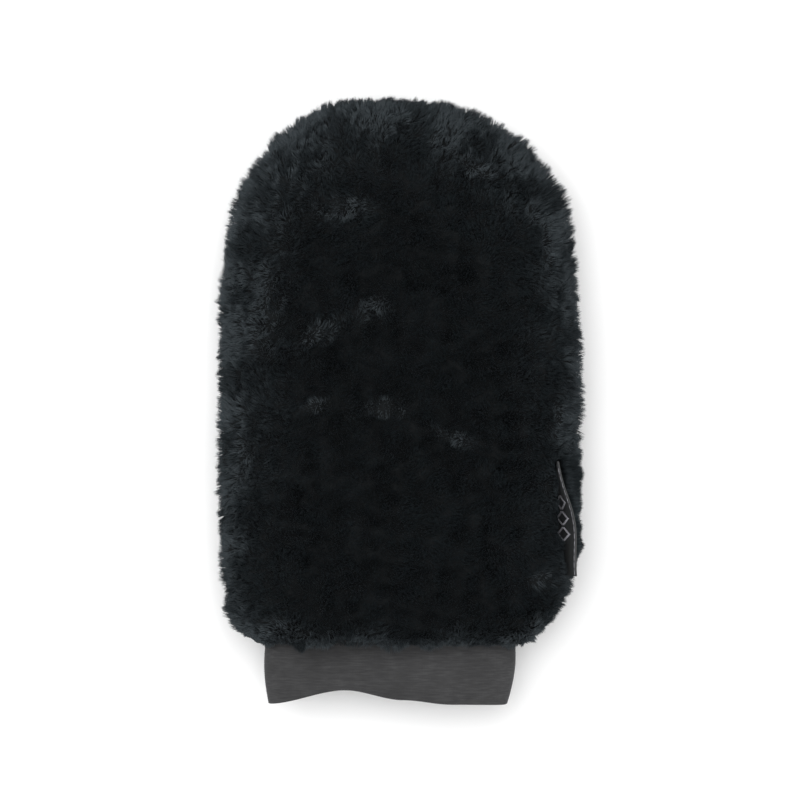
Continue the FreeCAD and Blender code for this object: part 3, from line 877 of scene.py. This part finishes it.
def label_side_tufts(count):
    """The fibres that stand up behind the label, between it and the mitt's outline."""
    share = -0.03 + 1.09 * rng.random(count)
    y = label_low_y + share * label_length
    spread = rng.random(count)
    # degrees up from +X: from the outline to a little short of the label
    lean = np.radians(4 + (label_lean(share) - 12) * spread ** 0.7)
    length = (12.5 + 5.5 * np.sin(lean)) * MM
    # shorter towards the corner by the cuff
    corner = 22 * MM
    to_corner = np.clip((label_low_y + corner - y) / corner, 0, 1)
    length *= 1 - 0.3 * to_corner ** 2
    base = np.stack([np.full(count, hinge_point[0]), y, np.full(count, SEAM_Z - 0.5 * MM)], -1)
    direction = np.stack([np.cos(lean), 0 * lean, np.sin(lean)], -1)
    normal = unit(direction + np.array([0.35, 0, 0]))
    start = base + direction * (length * 0.3)[:, None]
    bend = base + direction * (length * 0.7)[:, None]
    tip = base + direction * length[:, None] + normal * (0.8 * small_lumps(base) * MM)[:, None]
    tip[:, 0] += 1.0 * MM
    ragged, pull = 0.4 * MM, 0.4
    tip, clump = clumped_tips(tip, normal, CLUMP_SPACING * 0.8, ragged, pull)
    # painted rim light, varied at random from clump to clump
    tint = np.clip(painted_rim_light(tip) * (0.6 + 0.8 * rng.random(clump.max() + 1)[clump]), 0, 1)
    piece = strand_mesh("label_side_tufts", start, bend, tip, tint, pile_fibre)
    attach(piece, "mitt")
    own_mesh(piece)
    return piece


def cuff_height(x):
    """Half height of the cuff's oval at x."""
    share = np.clip((x - CUFF_X) / CUFF_HALF_WIDTH, -1, 1)
    return CUFF_HALF_HEIGHT * superellipse(share, SECTION_POWER)


front_ground = pile_ground(1)
back_ground = pile_ground(-1)
front_tufts = panel_tufts(1, FRONT_FIBRES, pieces=7, floor_share=1.0)
back_tufts = panel_tufts(-1, BACK_FIBRES, pieces=4, floor_share=ON_FLOOR_SHARE)
front_fringe = mouth_fringe(1, FRONT_FRINGE)
back_fringe = mouth_fringe(-1, BACK_FRINGE)
side_tufts = label_side_tufts(LABEL_SIDE_FIBRES)
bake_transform(front_fringe)
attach(back_fringe, "mitt")


# ---- cuff ----
CUFF_WAVE = ((0.0, 0.5), (0.32, 7.7), (0.55, 2.8), (0.75, 0.5), (1.0, 0.0))
RIB_PITCH = 1.15 * MM
RIB_HEIGHT = 0.06 * MM


def free_edge_rise(share):
    """Rise of the free edge above its lowest point, at a share of the way across the cuff."""
    shares = np.array([s for s, _ in CUFF_WAVE])
    rises = np.array([r for _, r in CUFF_WAVE]) * MM
    place = np.clip(share, 0, 1)
    k = np.clip(np.searchsorted(shares, place) - 1, 0, len(shares) - 2)
    ease = smooth_step(place, shares[k], shares[k + 1])
    # the right corner is rounded off
    corner_share, corner_rise = 0.06, 2.2 * MM
    corner = np.clip((place - 1 + corner_share) / corner_share, 0, 1)
    return rises[k] + (rises[k + 1] - rises[k]) * ease + corner_rise * corner ** 3


def cuff_ring(angle, down, shrink):
    """A point of the webbing ring: angle round the oval, down from 0 at the seam to 1 at the free edge."""
    across = np.sign(np.cos(angle)) * np.abs(np.cos(angle)) ** (2 / SECTION_POWER)
    up = np.sign(np.sin(angle)) * np.abs(np.sin(angle)) ** (2 / SECTION_POWER)
    taper_left, taper_right, bulge = 1.4 * MM, 3.8 * MM, 1.1 * MM
    left = CUFF_LEFT + shrink + taper_left * down ** 2 - bulge * np.sin(math.pi * down)
    right = CUFF_RIGHT - shrink - taper_right * down ** 2 + bulge * np.sin(math.pi * down)
    x = (left + right) / 2 + across * (right - left) / 2
    share = (x - CUFF_LEFT) / (CUFF_RIGHT - CUFF_LEFT)
    rise = free_edge_rise(share)
    y = SEAM_END_Y + (CUFF_EDGE_Y + rise - SEAM_END_Y) * down
    # the two walls lie closer where the edge rises, and both ripple a little
    closer, ripple_height, ripple_turns, ripple_start = 0.14, 0.7 * MM, 9.5, 0.7
    height = CUFF_HALF_HEIGHT - shrink - rise * closer * down
    ripple = ripple_height * down * np.sin(share * ripple_turns + ripple_start)
    z = SEAM_Z + up * height + ripple * np.abs(up)
    return np.stack([x, y, z], -1)


def cuff_piece():
    """The whole webbing ring: up its outer face, round its free edge and back along its inner face."""
    rows, columns = 118, 330
    down = np.linspace(0, 1, rows)[:, None]
    angle = np.linspace(0, 2 * math.pi, columns, endpoint=False)[None, :]
    down, angle = np.broadcast_arrays(down, angle)
    length = (SEAM_END_Y - CUFF_EDGE_Y) * down
    rib = RIB_HEIGHT * (1 - np.abs(np.sin(math.pi * length / RIB_PITCH)))
    outer = cuff_ring(angle, down, rib)
    inner = cuff_ring(angle, down, CUFF_WALL - rib)
    edge_round = np.array([0, 0.35 * MM, 0])
    middle = (outer[-1] + inner[-1]) / 2 - edge_round
    start = (outer[0] + inner[0]) / 2
    loops = np.concatenate([start[None], outer, middle[None], inner[::-1]])
    first = np.arange(columns)
    after = (first + 1) % columns
    last = (len(loops) - 1) * columns
    closing = np.stack([last + first, last + after, after, first], -1)
    faces = [grid_faces(len(loops), columns, wrap=True), closing]
    piece = make_mesh("cuff_webbing", loops, faces, webbing)
    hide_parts("cuff_front", "cuff_back")
    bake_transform(piece)


cuff_piece()


# ---- label ----
LABEL_REACH = 20 * MM
LABEL_ROOT = 5.5 * MM        # ribbon drawn inside the hinge line, where the pile hides it
RIBBON = 0.38 * MM
LEAF_GAP = 0.12 * MM


def label_angle(distance, share):
    """Slope of the ribbon, from +X up. distance is measured from the hinge line, negative towards
    the seam; share runs from 0 at the label's cuff end to 1 at its finger end."""
    lean = np.radians(label_lean(share))
    bend_half = 1.5 * MM
    turned = np.clip((distance + bend_half) / (2 * bend_half), 0, 1)
    wave = math.radians(6) * np.sin(share * 8 + 1)
    return (lean + wave * np.clip(distance / LABEL_REACH, 0, 1)) * turned


def label_point(distance, share, lift):
    """A point of the ribbon's middle surface, moved by lift out of the face that is seen."""
    distance, share = np.broadcast_arrays(distance, share)
    x = np.zeros(distance.shape)
    z = np.zeros(distance.shape)
    parts = 24
    for k in range(parts):
        angle = label_angle(distance * (k + 0.5) / parts, share)
        x = x + distance / parts * np.cos(angle)
        z = z + distance / parts * np.sin(angle)
    angle = label_angle(distance, share)
    y = label_low_y + share * label_length
    return np.stack([hinge_point[0] + x - lift * np.sin(angle), y,
                     hinge_point[2] + z + lift * np.cos(angle)], -1)


def label_ribbon():
    """One ribbon folded double: up the inner leaf, round the fold and down the outer leaf."""
    rows, columns = 60, 60
    share = np.linspace(0, 1, rows)[:, None]
    up = np.linspace(-LABEL_ROOT, LABEL_REACH, columns)
    distance = np.concatenate([up, up[::-1]])[None, :]
    lift = np.repeat([1.0, -1.0], columns)[None, :] * (RIBBON + LEAF_GAP) / 2
    middle = label_point(distance, share, lift)
    normal = unit(np.cross(np.gradient(middle, axis=1), np.gradient(middle, axis=0)))
    piece = closed_shell("label_folded_ribbon", middle + normal * RIBBON / 2, middle - normal * RIBBON / 2,
                         ribbon_satin, False)
    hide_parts("label_ribbon", "label_sewn_end")
    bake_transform(piece)


def label_motif():
    """Light yarn worked over the inner leaf: three diamonds, and a border line by the fold that also stands
    in as a painted highlight for the fold's sheen.
    """
    bars = []                # distance, y from the label's end, half size across, half size along
    yarn = 0.24 * MM         # half width of a stitch
    yarn_height, clear = 0.1 * MM, 1.2   # half its height, and how far up its middle is
    diamonds, pitch, half_across, half_along = 3, 8.0 * MM, 6.5 * MM, 3.8 * MM
    middle = LABEL_REACH / 2 - 0.5 * MM
    bar_pitch = 0.55 * MM
    stroke = 2.4 * MM        # length of the stitches that outline a diamond
    bars_each = 2 * int(half_along / bar_pitch) + 1
    for d in range(diamonds):
        centre = label_length / 2 + (d - (diamonds - 1) / 2) * pitch
        for k in range(bars_each):
            offset = (k - (bars_each - 1) / 2) * bar_pitch
            half = half_across * (1 - abs(offset) / (half_along + bar_pitch))
            reach = min(half, stroke) / 2
            bars.append((middle - half + reach, centre + offset, reach, yarn))
            bars.append((middle + half - reach, centre + offset, reach, yarn))
    # the light border stitches by the fold are partly a painted highlight of the sheen along the fold
    border, border_yarn = LABEL_REACH - 0.6 * MM, 0.08 * MM
    stitch, gap = 3.4 * MM, 0.25 * MM
    for k in range(int(label_length / (stitch + gap))):
        bars.append((border, (k + 0.5) * (stitch + gap) + gap / 2, border_yarn, stitch / 2))
    stitches = []
    for distance, y, across, along in bars:
        if across > along:
            distance, y = distance + STITCH_ALONG * across, y + STITCH_SIDE * along
        else:
            distance, y = distance + STITCH_SIDE * across, y + STITCH_ALONG * along
        lift = RIBBON + LEAF_GAP / 2 + yarn_height * (clear * STITCH_THICK + STITCH_RISE)
        stitches.append(label_point(distance, y / label_length, lift))
    piece = stitch_mesh("label_motif_stitches", stitches, motif_yarn)
    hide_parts("label_motif")
    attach(piece, "label")


label_ribbon()
label_motif()


# ---- threads ----
def closing_stitches():
    """Overlapping stitches across the line that closes the webbing into a ring, under the cuff."""
    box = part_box("cuff_closing_thread")
    centre_x = (box[0].x + box[1].x) / 2
    half = (box[1].x - box[0].x) / 2
    count, radius, slant, proud = 15, 0.3 * MM, 0.9 * MM, 0.05 * MM
    stitches = []
    for k in range(count):
        middle_y = box[0].y + (box[1].y - box[0].y) * (k + 0.5) / count
        turned = slant if k % 2 else -slant
        x = centre_x + STITCH_ALONG * half
        y = middle_y + STITCH_ALONG * turned + STITCH_SIDE * radius
        z = SEAM_Z - cuff_height(x) - proud + STITCH_RISE * radius
        stitches.append(np.stack([x, y, z], -1))
    piece = stitch_mesh("cuff_closing_stitches", stitches, thread)
    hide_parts("cuff_closing_thread")
    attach(piece, "mitt")


closing_stitches()

for node, material in (("perimeter_seam_thread", thread), ("lining_seam_thread", thread),
                       ("cuff_seam_thread_front", thread), ("cuff_seam_thread_back", thread),
                       ("label_stitching", thread), ("cuff_sewn_edge", webbing)):
    for slot in frame["nodes"][node].material_slots:
        slot.material = material


# ---- stage, light and camera ----
def make_floor():
    half = 6.0
    corners = np.array([[-half, -half, 0], [half, -half, 0], [half, half, 0], [-half, half, 0]])
    nodes = Nodes("pale_floor", 0.9, 0.1)
    nodes.colour(nodes.mix(nodes.noise(3, 2), (0.93, 0.93, 0.93), (0.95, 0.95, 0.95)))
    floor = make_mesh("floor", corners, [np.array([[0, 1, 2, 3]])], nodes.material)


def soft_light(name, place, size, power):
    """A large soft light that points at the mitt."""
    data = bpy.data.lights.new(name, "AREA")
    data.shape = "DISK"
    data.size = size
    data.energy = power
    light = bpy.data.objects.new(name, data)
    light.location = place
    light.rotation_euler = (Vector((0, 0, SEAM_Z)) - Vector(place)).to_track_quat("-Z", "Y").to_euler()
    light.visible_camera = False
    bpy.context.scene.collection.objects.link(light)


def make_world(strength):
    world = bpy.data.worlds.new("studio")
    world.use_nodes = True
    background = world.node_tree.nodes["Background"]
    background.inputs["Color"].default_value = (1.0, 1.0, 1.0, 1)
    background.inputs["Strength"].default_value = strength
    bpy.context.scene.world = world


def make_camera():
    """Straight above the mitt, far enough away to show it without perspective."""
    view_width = 408 * MM
    data = bpy.data.cameras.new("camera")
    data.lens = 150
    data.sensor_width = 36
    camera = bpy.data.objects.new("camera", data)
    distance = data.lens / data.sensor_width * view_width
    camera.location = (0, 0, SEAM_Z + distance)
    bpy.context.scene.collection.objects.link(camera)
    bpy.context.scene.camera = camera


make_floor()
soft_light("overhead", (-0.2, 0.35, 1.5), size=1.8, power=17)
soft_light("left_fill", (-1.3, 0.7, 0.9), size=1.4, power=8)
soft_light("right_fill", (1.4, -0.5, 0.9), size=1.4, power=7)
make_world(0.72)
make_camera()
bpy.context.scene.view_settings.view_transform = "Standard"
